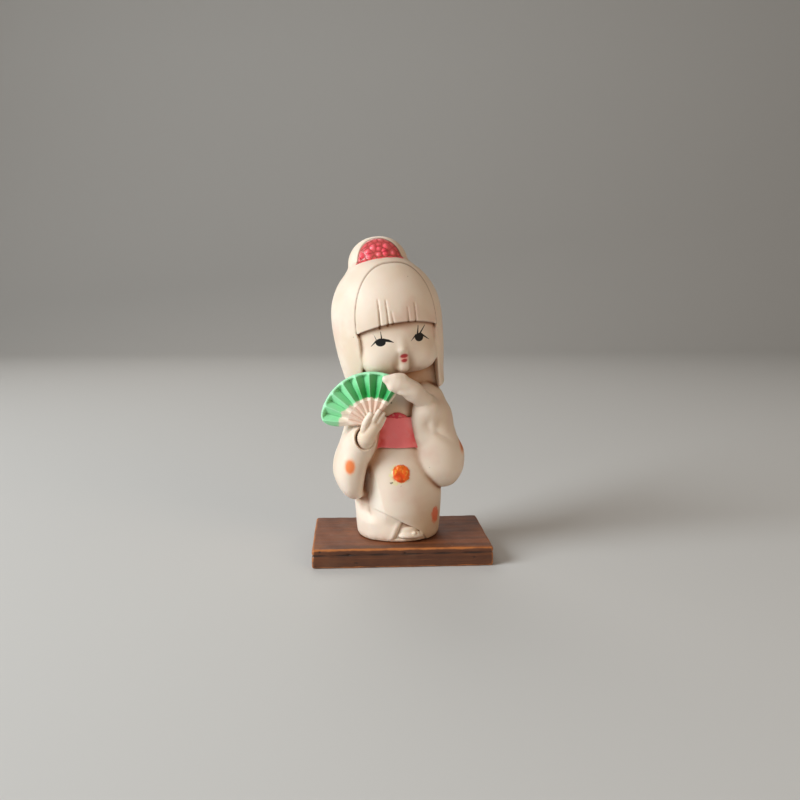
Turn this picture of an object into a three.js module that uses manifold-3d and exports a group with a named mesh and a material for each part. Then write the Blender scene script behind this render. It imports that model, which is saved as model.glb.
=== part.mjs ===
// A hand-painted vinyl kimono girl with a folding fan, standing on a wooden plinth.
// Millimetres, +Z up. The origin is the centre of the plinth's underside and the front faces -Y.
// The figure stands on a dowel peg: it turns with the peg and lifts off it.
import * as THREE from 'three';
import { mergeVertices } from 'three/addons/utils/BufferGeometryUtils.js';
import Module from 'manifold-3d';

const wasm = await Module();
wasm.setup();

// ---------- driving dimensions ----------
const GAP = 0.3;                  // clearance between neighbouring pieces
const WALL = 2.2;                 // vinyl wall thickness
const PLINTH = { width: 90, depth: 58, height: 10, corner: 1.6, edge: 1.2 };
const PEG = { radius: 3, sunk: 7, proud: 15, chamfer: 0.8, clearance: 0.15 };
const FIGURE_TURN = 9;            // the figure faces this many degrees towards +X
const HEAD_TILT = 8;              // the head leans this many degrees towards -X
const NECK = 5.8;                 // neck radius
const CHIN = { x: -2.2, y: 0, z: 82 };   // the point of the neck that the head leans about
const SEAM = { y: -16.5, z: 31, slope: 0.2 };   // parting line between front and back hair
const FACE = { halfWidth: 22, halfDepth: 20.5, halfHeight: 18.5, y: -3.2, z: 20 };
const FAN = { radius: 26, inner: 3.2, leafFrom: 13.5, thick: 2.2, pleat: 1.5, pleats: 8, from: 52, to: 184 };
const HEM = { x: -2.8, z: 9.5, slope: -0.43 };  // the robe's hem crosses this point and falls towards +X

// ---------- solids from three.js geometries ----------
const solid = (geometry) => {
  geometry.deleteAttribute('normal');
  geometry.deleteAttribute('uv');
  const merged = mergeVertices(geometry, 1e-4);
  return new wasm.Manifold(new wasm.Mesh({
    numProp: 3,
    vertProperties: new Float32Array(merged.attributes.position.array),
    triVerts: new Uint32Array(merged.index.array),
  }));
};

// Moves every vertex of a geometry to where place(vertex) says.
const bend = (geometry, place) => {
  const position = geometry.attributes.position;
  const vertex = new THREE.Vector3();
  for (let i = 0; i < position.count; i++) {
    place(vertex.fromBufferAttribute(position, i));
    position.setXYZ(i, vertex.x, vertex.y, vertex.z);
  }
  return geometry;
};

const box = (width, depth, height, x, y, z) =>
  solid(new THREE.BoxGeometry(width, depth, height).translate(x, y, z));

const ellipsoid = ({ x = 0, y = 0, z = 0, rx, ry, rz, sides = 20, rings = 12 }, grow = 0) =>
  solid(new THREE.SphereGeometry(1, sides, rings).rotateX(Math.PI / 2)
    .scale(rx + grow, ry + grow, rz + grow).translate(x, y, z));

// A body of elliptical sections. Each row is [z, centre x, centre y, half-width, half-depth].
const stack = (rows, { sides = 24, rings = 12, grow = 0 } = {}) => {
  const heights = rows.map((row) => row[0]);
  const curve = new THREE.CubicInterpolant(heights, rows.flatMap((row) => row.slice(1)), 4);
  const low = heights[0];
  const high = heights.at(-1);
  const tube = new THREE.CylinderGeometry(1, 1, 1, sides, rings).rotateX(Math.PI / 2);
  return solid(bend(tube, (v) => {
    const share = v.z + 0.5;
    const z = low + share * (high - low);
    const [x, y, rx, ry] = curve.evaluate(z);
    v.x = x + v.x * (rx + grow);
    v.y = y + v.y * (ry + grow);
    v.z = z + (share < 1e-6 ? -grow : share > 1 - 1e-6 ? grow : 0);
  }));
};

// A round-ended tapered tube through the given points.
const limb = (points, startRadius, endRadius, { sides = 10, steps = 5, grow = 0 } = {}) => {
  const path = new THREE.CatmullRomCurve3(points.map((p) => new THREE.Vector3(...p)));
  const capsule = new THREE.CapsuleGeometry(1, 1, 2, sides, steps);
  return solid(bend(capsule, (v) => {
    const share = THREE.MathUtils.clamp(v.y, -0.5, 0.5) + 0.5;
    const past = v.y - (share - 0.5);
    const radius = THREE.MathUtils.lerp(startRadius, endRadius, share) + grow;
    const along = path.getTangentAt(share);
    const side = new THREE.Vector3(0, 1, 0).cross(along).normalize();
    const up = along.clone().cross(side);
    const offset = side.multiplyScalar(v.z * radius)
      .addScaledVector(up, v.x * radius).addScaledVector(along, past * radius);
    v.copy(path.getPointAt(share)).add(offset);
  }));
};

const join = (first, ...rest) => rest.reduce((a, b) => a.add(b), first);
const cut = (first, ...rest) => rest.reduce((a, b) => a.subtract(b), first);

// Leans a solid drawn in the head's own frame, where z starts at the chin.
const lean = (piece) => piece.rotate([0, -HEAD_TILT, 0]).translate([CHIN.x, CHIN.y, CHIN.z]);

// ---------- plinth and peg ----------
const plinth = () => {
  const { width, depth, height, corner, edge } = PLINTH;
  const w = width / 2 - edge;
  const d = depth / 2 - edge;
  const r = corner;
  const outline = new THREE.Shape();
  outline.moveTo(-w + r, -d);
  outline.lineTo(w - r, -d);
  outline.quadraticCurveTo(w, -d, w, -d + r);
  outline.lineTo(w, d - r);
  outline.quadraticCurveTo(w, d, w - r, d);
  outline.lineTo(-w + r, d);
  outline.quadraticCurveTo(-w, d, -w, d - r);
  outline.lineTo(-w, -d + r);
  outline.quadraticCurveTo(-w, -d, -w + r, -d);
  const board = new THREE.ExtrudeGeometry(outline, {
    depth: height - 2 * edge, bevelThickness: edge, bevelSize: edge, bevelSegments: 2, curveSegments: 3,
  }).translate(0, 0, edge);
  const bore = PEG.radius + PEG.clearance;
  const hole = new THREE.CylinderGeometry(bore, bore, PEG.sunk + 1, 24)
    .rotateX(Math.PI / 2).translate(0, 0, height + (1 - PEG.sunk) / 2);
  return cut(solid(board), solid(hole));
};

const peg = () => {
  const { radius, sunk, proud, chamfer } = PEG;
  const low = PLINTH.height - sunk + GAP;
  const high = PLINTH.height + proud;
  return solid(new THREE.LatheGeometry([
    new THREE.Vector2(0, low),
    new THREE.Vector2(radius, low),
    new THREE.Vector2(radius, high - chamfer),
    new THREE.Vector2(radius - chamfer, high),
    new THREE.Vector2(0, high),
  ], 24).rotateX(Math.PI / 2));
};

// ---------- robe ----------
const ROBE = [
  [0, -1, 0, 20.2, 20.0], [2.5, -1, 0, 21.4, 21.0], [12, -1, 0, 22.2, 21.2], [22, -1, 0, 22.6, 21.2],
  [33, -1, 0, 21.6, 20.0], [44, -1, 0, 19.0, 17.6], [54, -1, 0, 17.6, 16.0], [64, -1, 0, 17.2, 15.4],
  [71, -1, 0, 16.4, 13.6], [76, -1, 0, 13.0, 11.0], [79, -1, 0, 8.6, 8.6],
];
const robeShape = (grow) => stack(ROBE, { sides: 24, rings: 14, grow });

const UNDER_ROBE = ROBE.filter((row) => row[0] < 30)
  .map(([z, x, y, rx, ry]) => [z, x, y, rx - 1.3, ry - 1.3]);
const underShape = (grow) => stack(UNDER_ROBE, { sides: 24, rings: 4, grow });

const PLUG = { radius: 15.6, flange: 2.6, boss: 5.8, bossHeight: 17 };
const basePlug = () => {
  const bore = PEG.radius + PEG.clearance;
  return solid(new THREE.LatheGeometry([
    new THREE.Vector2(bore, 0),
    new THREE.Vector2(PLUG.radius, 0),
    new THREE.Vector2(PLUG.radius, PLUG.flange),
    new THREE.Vector2(PLUG.boss, PLUG.flange),
    new THREE.Vector2(PLUG.boss, PLUG.bossHeight),
    new THREE.Vector2(0, PLUG.bossHeight),
    new THREE.Vector2(0, PEG.proud + 2 * GAP),
    new THREE.Vector2(bore, PEG.proud + 2 * GAP),
    new THREE.Vector2(bore, 0),
  ], 24).rotateX(Math.PI / 2));
};

const underRobe = () => {
  const shell = cut(underShape(0), stack(
    UNDER_ROBE.map(([z, x, y, rx, ry]) => [z * 1.2 - 2, x, y, rx - WALL, ry - WALL]),
    { sides: 20, rings: 3 }));
  return cut(shell, foot(GAP), box(60, 60, 60, 0, 0, 53));
};

const foot = (grow) => {
  const toe = ellipsoid({ x: 1.2, y: -19.4, z: 4.2, rx: 6.0, ry: 3.6, rz: 3.4, sides: 16, rings: 8 }, grow);
  return grow ? toe : cut(toe, box(40, 40, 20, 0, 0, -9.5));
};

// Everything below the robe's sloping hem, at the front and left.
const belowHem = () =>
  box(80, 60, 40, 0, -24, -20).rotate([0, -Math.atan(HEM.slope) * 180 / Math.PI, 0])
    .translate([HEM.x, 0, HEM.z]);

const neckHole = () =>
  lean(solid(new THREE.CylinderGeometry(NECK + GAP, NECK + GAP, 30, 20).rotateX(Math.PI / 2)));

const kimono = () => {
  const inside = ROBE.filter((row) => row[0] > 20 && row[0] < 75)
    .map(([z, x, y, rx, ry]) => [z, x, y, rx - WALL, ry - WALL]);
  inside.unshift([18, -1, 0, 20.5, 19.3]);
  return cut(robeShape(0), underShape(GAP), stack(inside, { sides: 20, rings: 6 }), belowHem(),
    neckHole(), foot(GAP), sashBand(GAP), sashScarf(GAP));
};

// ---------- sash ----------
const SASH = { low: 47.2, high: 62.2, proud: 1.0, thick: 1.7 };
const ring = (low, high, proud, thick, grow) => {
  const rows = ROBE.filter((row) => row[0] > 32 && row[0] < 73);
  const outer = stack(rows, { sides: 24, rings: 5, grow: proud + grow });
  const inner = stack(rows, { sides: 24, rings: 5, grow: proud - thick - grow });
  const slab = box(60, 60, high - low + 2 * grow, 0, 0, (low + high) / 2);
  return cut(outer.intersect(slab), inner);
};
const sashBand = (grow) => ring(SASH.low, SASH.high, SASH.proud, SASH.thick, grow);
const sashScarf = (grow) => ring(SASH.high + GAP, SASH.high + 2.2, 0.5, 1.2, grow);

const sashKnot = (grow) => {
  const drum = new THREE.CapsuleGeometry(6.5 + grow, 13, 3, 12, 1).rotateZ(Math.PI / 2).scale(1, 0.62, 1.25)
    .translate(-1, 20.6, 55);
  return solid(drum);
};

// ---------- sleeves ----------
const LEFT_SLEEVE = [
  [25, 20.4, -6, 2.8, 4.4], [26.6, 20.2, -6, 6.4, 8.6], [30, 19.4, -6, 10.4, 12.6],
  [36, 18.0, -6, 14.2, 15.4], [44, 16.8, -6, 15.2, 15.8], [52, 15.6, -6, 12.6, 15.6],
  [60, 15.2, -5.6, 10.6, 14.2], [68, 14.8, -4, 8.2, 12.0], [74, 13.6, -2, 6.6, 9.0],
  [77.5, 11.8, -1, 3.0, 4.0],
];
const RIGHT_SLEEVE = [
  [20.5, -24.0, -6, 2.2, 4.0], [22.2, -24.6, -6, 4.4, 8.2], [26.5, -26.0, -6, 6.4, 11.6],
  [34, -27.0, -6, 8.4, 13.6], [42, -25.9, -6, 8.6, 14.0], [50, -23.2, -6, 8.5, 13.6],
  [58, -20.4, -5, 8.6, 12.4], [66, -18.0, -3, 8.4, 11.0], [73, -16.0, -1.5, 6.6, 8.6],
  [77, -13.6, -1, 3.0, 4.0],
];
const sleeveOptions = (grow) => ({ sides: 16, rings: 11, grow });

// Each sleeve bends forward into a cuff, whose mouth is hollow round the arm.
const LEFT_CUFF = { path: [[17, -7, 64], [12.4, -14, 67.4], [7.4, -18.4, 69.8]], thick: 8.4, mouth: 6.4,
  opening: [3.4, -21.6, 70.6], hollow: 5.4 };
const RIGHT_CUFF = { path: [[-24, -8, 46], [-23.6, -14, 49.5], [-22, -17.4, 53]], thick: 9.0, mouth: 6.6,
  opening: [-19.6, -21.4, 55.6], hollow: 5.6 };

const sleeveShape = (rows, { path, thick, mouth }, grow) =>
  join(stack(rows, sleeveOptions(grow)), limb(path, thick, mouth, { sides: 12, steps: 3, grow }));
const cuffHollow = ({ opening: [x, y, z], hollow }) =>
  ellipsoid({ x, y, z, rx: hollow, ry: hollow, rz: hollow * 1.15, sides: 12, rings: 7 });
const leftSleeveShape = (grow) => sleeveShape(LEFT_SLEEVE, LEFT_CUFF, grow);
const rightSleeveShape = (grow) => sleeveShape(RIGHT_SLEEVE, RIGHT_CUFF, grow);

const hangingSleeve = (shape, cuff, arm) =>
  cut(shape(0), robeShape(GAP), sashBand(GAP), sashScarf(GAP), sashKnot(GAP),
    cuffHollow(cuff), arm(GAP), headShape(GAP));

// ---------- arms and hands ----------
const fingers = (knuckle, tip, spread, count, radius, grow) =>
  Array.from({ length: count }, (_, i) => {
    const shift = (i - (count - 1) / 2);
    const start = knuckle.map((k, axis) => k + spread[axis] * shift);
    const end = tip.map((k, axis) => k + spread[axis] * shift * 0.8);
    const middle = start.map((s, axis) => (s + end[axis]) / 2);
    return limb([start, middle, end], radius, radius * 0.8, { sides: 6, steps: 1, grow });
  });

// The figure's left arm, bent up so that the hand lies under the chin.
const leftHand = (grow) => join(
  limb([[12, -14, 68], [7.5, -19, 71], [1, -23, 76]], 4.3, 3.9, { sides: 10, steps: 4, grow }),
  limb([[2, -23, 75.4], [-3.4, -24.8, 79.2]], 4.4, 4.2, { sides: 10, steps: 1, grow }),
  ...fingers([-5.2, -25.2, 80.4], [-11.4, -25.4, 80.9], [0.6, -0.3, -2.1], 4, 1.5, grow),
);

// The figure's right arm, holding the fan against the chest.
const rightHand = (grow) => join(
  limb([[-22.6, -12, 49], [-21.8, -17.5, 51.5], [-20.2, -21.0, 55]], 4.2, 4.0, { sides: 10, steps: 4, grow }),
  limb([[-20.2, -21.4, 54.6], [-17.8, -23.0, 60.4]], 4.5, 3.7, { sides: 10, steps: 1, grow }),
  ...fingers([-16.6, -23.4, 62.4], [-14.6, -22.8, 67.4], [1.9, 0.4, -0.9], 4, 1.35, grow),
  limb([[-21, -23.2, 58.5], [-21.4, -24.4, 62], [-20, -25.2, 66]], 1.7, 1.3, { sides: 6, steps: 2, grow }),
);

// ---------- fan ----------
const FAN_PLACE = { x: -18.6, y: -22.2, z: 60.5, turn: -22, back: -6 };
const placeFan = (geometry) => {
  const { x, y, z, turn, back } = FAN_PLACE;
  return geometry.rotateX(Math.PI / 2).rotateX(THREE.MathUtils.degToRad(back))
    .rotateZ(THREE.MathUtils.degToRad(turn)).translate(x, y, z);
};

// A pleated sector: a flat slab whose X becomes the angle round the pivot and Y the radius.
const pleatedSector = (inner, outer, thick, pleat, grow) => {
  const folds = FAN.pleats * 2;
  const slab = new THREE.BoxGeometry(1, 1, 1, folds, 2, 1);
  return solid(placeFan(bend(slab, (v) => {
    const share = 0.5 - v.x;
    const side = Math.round(share * folds) % 2 ? -1 : 1;
    const angle = THREE.MathUtils.degToRad(FAN.from + share * (FAN.to - FAN.from));
    const radius = THREE.MathUtils.lerp(inner, outer, v.y + 0.5);
    const spare = grow / radius * Math.sign(share - 0.5) * (Math.abs(share - 0.5) > 0.49 ? 1 : 0);
    const depth = v.z * (thick + 2 * grow) + side * pleat / 2 * (radius / FAN.radius);
    v.set(Math.cos(angle + spare) * radius, Math.sin(angle + spare) * radius, depth);
  })));
};
const fanLeaf = (grow) => pleatedSector(FAN.leafFrom - grow, FAN.radius + grow, FAN.thick, FAN.pleat, grow);
const fanSticks = (grow) =>
  pleatedSector(FAN.inner - grow, FAN.leafFrom - GAP, FAN.thick * 0.8, FAN.pleat, grow);

// ---------- head and hair, drawn in the head's own frame ----------
const SKULL = { x: 0, y: 2.5, z: 31, rx: 23.4, ry: 22.2, rz: 25 };
const headShape = (grow) => lean(join(
  ellipsoid({ ...SKULL, sides: 20, rings: 12 }, grow),
  ellipsoid({ y: FACE.y, z: FACE.z, rx: FACE.halfWidth, ry: FACE.halfDepth, rz: FACE.halfHeight,
    sides: 20, rings: 12 }, grow),
));

const head = () => {
  const neck = solid(new THREE.CylinderGeometry(NECK, NECK, 17, 16)
    .rotateX(Math.PI / 2).translate(0, 0, -0.5));
  const nose = ellipsoid({ y: -23.4, z: 14.6, rx: 1.7, ry: 1.9, rz: 2.4, sides: 8, rings: 5 });
  const mouth = ellipsoid({ y: -20.2, z: 9.8, rx: 2.6, ry: 1.8, rz: 2.6, sides: 8, rings: 5 });
  const hollow = ellipsoid({ x: 0, y: 2, z: 29, rx: 20.6, ry: 19.4, rz: 22, sides: 14, rings: 8 });
  const throat = solid(new THREE.CylinderGeometry(3.8, 3.8, 40, 16).rotateX(Math.PI / 2));
  return cut(join(headShape(0), lean(join(neck, nose, mouth))), lean(join(hollow, throat)), leftHand(GAP));
};

const HAIR_ROWS = [
  [-8, 1.0, 4, 24.6, 22.0], [0, 0.6, 4, 25.6, 23.4], [10, 0.2, 3, 27.0, 25.4], [20, 0, 2.5, 27.9, 26.6],
  [31, 0, 2, 28.1, 27.0], [40, 0, 2, 26.8, 25.8], [48, 0, 2, 23.2, 22.3], [54, 0, 2, 18.1, 17.4],
  [58, 0, 2, 12.2, 11.7], [60.4, 0, 2, 5.6, 5.4], [61, 0, 2, 1.2, 1.2],
];
const hairShape = (grow) => stack(HAIR_ROWS, { sides: 24, rings: 15, grow });

// The half-space in front of the parting line between front and back hair.
const frontOfSeam = (shift) =>
  box(120, 60, 160, 0, -30, 0).rotate([-Math.atan(SEAM.slope) * 180 / Math.PI, 0, 0])
    .translate([0, SEAM.y + shift, SEAM.z]);

// The space below the fringe: its top is the fringe's curved edge. A narrow one is the window
// between the side locks through which the face shows, a wide one trims the fringe.
const belowFringe = (left, right, grow) => {
  const arch = new THREE.Shape();
  arch.moveTo(-left, -20);
  arch.lineTo(right, -20);
  arch.lineTo(right, 24 + grow);
  arch.lineTo(19.6, 24.4 + grow);
  arch.quadraticCurveTo(1, 31.4 + grow, -18, 24.2 + grow);
  arch.lineTo(-left, 23.8 + grow);
  arch.closePath();
  return solid(new THREE.ExtrudeGeometry(arch, { depth: 60, bevelEnabled: false, curveSegments: 6 })
    .rotateX(Math.PI / 2).translate(0, -4, 0));
};
const faceWindow = () => belowFringe(18.01, 19.61, 0);

const ornamentShape = (grow) =>
  ellipsoid({ x: 0.6, y: 2.0, z: 57.4, rx: 11.4, ry: 9.4, rz: 12.8, sides: 16, rings: 10 }, grow);
const bunShape = (grow) =>
  ellipsoid({ x: 0.6, y: 8, z: 56.6, rx: 15.4, ry: 13, rz: 14.6, sides: 20, rings: 12 }, grow);
const frontHairShape = (grow) =>
  cut(hairShape(0.7 + grow).intersect(frontOfSeam(grow)), belowFringe(40, 40, -grow));

const frontHair = () => cut(lean(frontHairShape(0)), headShape(GAP));

const backHair = () => cut(lean(cut(hairShape(0), frontHairShape(GAP), faceWindow(), bunShape(GAP),
  ornamentShape(GAP))), headShape(GAP), neckHole(), leftHand(GAP), robeShape(GAP),
  leftSleeveShape(GAP), rightSleeveShape(GAP), placedFan(GAP));

const bun = () => cut(lean(cut(bunShape(0), ornamentShape(GAP), frontHairShape(GAP))), headShape(GAP));
const ornament = () => cut(lean(cut(ornamentShape(0), frontHairShape(GAP))), headShape(GAP));
const placedFan = (grow) => join(fanLeaf(grow), fanSticks(grow));

// ---------- assembly ----------
const PAINT = {
  wood: [0x5b3420, 0.75], dowel: [0xb98d5c, 0.8], cream: [0xe8dac6, 0.55], shell: [0xddccb5, 0.6],
  green: [0x4fc178, 0.5], pink: [0xe46f78, 0.5], red: [0xd8324a, 0.45],
};
const mesh = (name, paint, piece) => {
  const [color, roughness] = PAINT[paint];
  const made = piece.getMesh();
  const geometry = new THREE.BufferGeometry();
  geometry.setAttribute('position', new THREE.BufferAttribute(made.vertProperties, 3));
  geometry.setIndex(new THREE.BufferAttribute(made.triVerts, 1));
  const shape = new THREE.Mesh(geometry, new THREE.MeshStandardMaterial({ color, roughness, metalness: 0 }));
  shape.name = name;
  return shape;
};

const figure = new THREE.Group();
figure.position.z = PLINTH.height + GAP;
figure.rotation.z = THREE.MathUtils.degToRad(FIGURE_TURN);
figure.add(
  mesh('base_plug', 'shell', basePlug()),
  mesh('under_robe', 'cream', underRobe()),
  mesh('kimono_body', 'cream', kimono()),
  mesh('foot', 'cream', foot(0)),
  mesh('sash', 'pink', sashBand(0)),
  mesh('sash_scarf', 'red', sashScarf(0)),
  mesh('sash_knot', 'pink', cut(sashKnot(0), ring(30, 72, SASH.proud, 30, GAP), robeShape(GAP))),
  mesh('left_sleeve', 'cream', hangingSleeve(leftSleeveShape, LEFT_CUFF, leftHand)),
  mesh('right_sleeve', 'cream',
    cut(hangingSleeve(rightSleeveShape, RIGHT_CUFF, rightHand), placedFan(GAP))),
  mesh('left_hand', 'cream', cut(leftHand(0), robeShape(GAP), sashBand(GAP), sashScarf(GAP))),
  mesh('right_hand', 'cream', cut(rightHand(0), robeShape(GAP), sashBand(GAP), sashScarf(GAP))),
  mesh('fan_leaf', 'green', cut(fanLeaf(0), rightHand(GAP), leftHand(GAP))),
  mesh('fan_sticks', 'cream', cut(fanSticks(0), rightHand(GAP), robeShape(GAP))),
  mesh('head', 'cream', cut(head(), placedFan(GAP))),
  mesh('front_hair', 'cream', frontHair()),
  mesh('back_hair', 'cream', backHair()),
  mesh('bun', 'cream', bun()),
  mesh('hair_ornament', 'red', ornament()),
);

const model = new THREE.Group();
model.add(mesh('plinth', 'wood', plinth()), mesh('display_peg', 'dowel', peg()), figure);

export default model;
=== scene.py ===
"""Looks of the hand-painted vinyl kimono girl on her wooden plinth.

The vinyl figure is sculpted as distance fields in the figure's own frame (millimetres, front towards -Y,
z up from the figure's base). All its parts are blended into one skin, as in one casting, and each named
piece is the stretch of that skin that its own part owns, so the joins between painted parts are seamless.
"""
import math
from concurrent.futures import ThreadPoolExecutor

import bpy
import numpy as np
from mathutils import Euler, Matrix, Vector


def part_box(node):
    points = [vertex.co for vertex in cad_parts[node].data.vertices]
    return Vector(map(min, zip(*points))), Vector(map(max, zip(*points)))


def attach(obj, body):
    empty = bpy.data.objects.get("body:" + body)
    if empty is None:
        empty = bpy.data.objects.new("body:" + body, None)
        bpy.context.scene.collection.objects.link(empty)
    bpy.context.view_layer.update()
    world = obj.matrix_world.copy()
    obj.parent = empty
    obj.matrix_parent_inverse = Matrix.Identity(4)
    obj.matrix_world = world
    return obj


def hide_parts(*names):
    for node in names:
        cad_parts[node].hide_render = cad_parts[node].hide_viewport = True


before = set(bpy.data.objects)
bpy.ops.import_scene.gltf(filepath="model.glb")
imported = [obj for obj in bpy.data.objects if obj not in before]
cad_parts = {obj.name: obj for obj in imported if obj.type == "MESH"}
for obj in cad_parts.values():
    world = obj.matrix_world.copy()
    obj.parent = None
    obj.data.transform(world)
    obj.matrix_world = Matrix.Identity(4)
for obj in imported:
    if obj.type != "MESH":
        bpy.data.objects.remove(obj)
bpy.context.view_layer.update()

# ---------- places taken from the frame ----------
MM = 0.001
PLINTH_LOW, PLINTH_HIGH = (np.array(corner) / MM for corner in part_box("plinth"))
FIGURE_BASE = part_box("base_plug")[0].z / MM      # height of the figure's base above the floor
FIGURE_TURN = math.radians(9)                    # the figure faces this far towards +X
HEAD_TILT = math.radians(8)                      # the head leans this far towards -X
CHIN = (-2.2, 0.0, 82.0)                         # point of the neck that the head leans about
FINE = 1.0                # coarser sculpting while trying things


# ---------- blocks of space and distance fields ----------
class Block:
    """A box of sample points. p is the figure's frame, head is the leaning head's frame."""

    def __init__(self, low, high, step):
        self.low = np.array(low, float)
        self.step = step
        axes = [np.arange(a, b + step, step, dtype=np.float32) for a, b in zip(low, high)]
        self.shape = tuple(len(axis) for axis in axes)
        self.p = (axes[0][:, None, None], axes[1][None, :, None], axes[2][None, None, :])
        x, y, z = (axis - centre for axis, centre in zip(self.p, CHIN))
        c, s = math.cos(HEAD_TILT), math.sin(HEAD_TILT)
        self.head = (c * x + s * z, y, c * z - s * x)

    def part(self, there):
        """The block cut down to a range of its points."""
        piece = Block.__new__(Block)
        piece.low = self.low + [i.start * self.step for i in there]
        piece.step = self.step
        piece.shape = tuple(i.stop - i.start for i in there)
        axes = self.p + self.head
        keep = [tuple(i if n > 1 else slice(None) for i, n in zip(there, axis.shape)) for axis in axes]
        cut = [axis[kept] for axis, kept in zip(axes, keep)]
        piece.p, piece.head = tuple(cut[:3]), tuple(cut[3:])
        return piece

    def sample(self, values, points):
        """Values at any points inside the block, by linear interpolation."""
        grid = (points - self.low) / self.step
        grid = np.clip(grid, 0, np.array(self.shape) - 1.001)
        cell = grid.astype(int)
        share = grid - cell
        total = np.zeros(len(points))
        for corner in np.ndindex(2, 2, 2):
            weight = np.prod(np.where(corner, share, 1 - share), axis=1)
            total += weight * values[tuple((cell + corner).T)]
        return total


def smoothstep(low, high, value):
    t = np.clip((value - low) / (high - low), 0, 1)
    return t * t * (3 - 2 * t)


def union(a, b, soft):
    """The nearer of two fields, with a fillet of about that many millimetres."""
    h = np.maximum(soft - np.abs(a - b), 0) / soft
    return np.minimum(a, b) - h * h * soft / 4


def carve(a, b, soft):
    """a with b taken away, with a softened edge."""
    return -union(-a, b, soft)


def overlap(a, b, soft):
    return -union(-a, -b, soft)


def ellipsoid(p, centre, radii, power=2.0):
    q = [np.abs((axis - c) / r) for axis, c, r in zip(p, centre, radii)]
    k0 = np.maximum(sum(a ** power for a in q), 1e-6) ** (1 / power)
    slope = np.sqrt(sum((a ** (power - 1) / r) ** 2 for a, r in zip(q, radii)))
    return (k0 - 1) * k0 ** (power - 1) / np.maximum(slope, 1e-4)


def curve_through(rows, count=240):
    """Rows of numbers as a smooth dense table, by a Catmull-Rom curve through them."""
    rows = np.array(rows, float)
    padded = np.vstack([2 * rows[0] - rows[1], rows, 2 * rows[-1] - rows[-2]])
    at = np.linspace(0, len(rows) - 1.0001, count)
    i = at.astype(int)
    t = (at - i)[:, None]
    a, b, c, d = (padded[i + k] for k in range(4))
    bend = (2 * a - 5 * b + 4 * c - d) * t ** 2 + (3 * b - a - 3 * c + d) * t ** 3
    return 0.5 * (2 * b + (c - a) * t + bend)


def stack(p, rows, power=2.0, inset=0.0):
    """A body of rounded sections. Each row is z, centre x, centre y, half-width, half-depth."""
    x, y, z = p
    table = curve_through(rows)
    table[:, 0] = np.maximum.accumulate(table[:, 0])
    cx, cy, rx, ry = (np.interp(z, table[:, 0], table[:, k]).astype(np.float32) for k in range(1, 5))
    rx = np.maximum(rx - inset, 0.6)
    ry = np.maximum(ry - inset, 0.6)
    side = ellipsoid((x, y), (cx, cy), (rx, ry), power)
    return np.maximum(side, np.maximum(rows[0][0] - z, z - rows[-1][0]))


def tube(p, points, start, end, count=9):
    """A round tube through points, whose radius runs from start to end."""
    path = curve_through(points, count)
    radii = np.linspace(start, end, count)
    field = None
    for a, b, ra, rb in zip(path, path[1:], radii, radii[1:]):
        line = b - a
        length = max(line @ line, 1e-9)
        offset = [axis - k for axis, k in zip(p, a)]
        t = np.clip(sum(o * k for o, k in zip(offset, line)) / length, 0, 1)
        away = np.sqrt(sum((o - t * k) ** 2 for o, k in zip(offset, line)))
        part = away - (ra + (rb - ra) * t)
        field = part if field is None else np.minimum(field, part)
    return field


def line_distance(x, z, a, b):
    """Distance from a line between two points, seen from the front, and how far along it."""
    dx, dz = b[0] - a[0], b[1] - a[1]
    t = np.clip(((x - a[0]) * dx + (z - a[1]) * dz) / (dx * dx + dz * dz), 0, 1)
    return np.hypot(x - a[0] - t * dx, z - a[1] - t * dz), t


# ---------- robe ----------
ROBE = [(-4, -1, 0, 19.6, 19.4), (0, -1, 0, 20.6, 20.3), (2.5, -1, 0, 21.4, 21.0), (12, -1, 0, 22.2, 21.2),
        (22, -1, 0, 22.6, 21.2), (33, -1, 0, 21.6, 20.0), (44, -1, 0, 19.0, 17.6), (54, -1, 0, 17.6, 16.0),
        (64, -1, 0, 17.2, 15.4), (71, -1, 0, 16.2, 13.6), (76, -1, 0, 12.4, 10.6), (79, -1, 0, 7.4, 7.4)]
# Height of the outer robe's hem along the front, from the wearer's right to left.
HEM = [(-30, 18.6), (-18.3, 17.0), (-12.1, 15.2), (-6.4, 12.4), (-2.8, 10.2), (4.8, 6.4), (8.3, 3.2),
       (11, -2)]
FOLD = (-3.4, 10.0)           # where the under robe opens above the foot, x and z
WALL = 2.2                    # vinyl wall thickness
CAVITY_TOP = 71               # how high the hollow inside the robe reaches


def robe(b):
    return stack(b.p, ROBE)


def hem_height(x, y):
    front = np.interp(x, *zip(*HEM))
    return front - (front + 3) * smoothstep(0, 18, y)


def draped_robe(b):
    """The robe with its front panel, whose left edge slopes away from a straight crease."""
    x, y, z = b.p
    edge = x + 8.7 + 0.22 * z
    slope_width = np.interp(z, (14, 42), (6.0, 2.8))
    rise = 3.7 * np.clip(edge / slope_width + 1, 0, 1) - 2.2 * smoothstep(-2.6, -1.0, edge / slope_width)
    across = (1 - smoothstep(1, 26, edge)) * smoothstep(2, -6, y)
    return robe(b) - rise * across * smoothstep(8, 15, z) * (1 - smoothstep(32, 46, z))


def kimono_body(b):
    x, y, z = b.p
    return overlap(draped_robe(b), 0.8 * (hem_height(x, y) - z), 0.4)


def under_robe(b):
    x, y, z = b.p
    step = 0.1 + 0.7 * smoothstep(-19, -13, x) * smoothstep(-4, -12, y)
    body = overlap(draped_robe(b) + step, z - 24, 0.3)
    fold = x - FOLD[0] - 0.4 * (z - FOLD[1])
    over_foot = smoothstep(9, 5, x) * smoothstep(-6, -14, y) * smoothstep(0.8, 1.8, z)
    opening = smoothstep(-0.9, 0.5, fold) * over_foot
    turned_edge = 0.35 * np.exp(-((fold + 1.9) / 1.0) ** 2) * smoothstep(10.5, 8, z) * smoothstep(-8, -12, y)
    return body + 0.8 * opening - turned_edge * smoothstep(0, 2, z)


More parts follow.
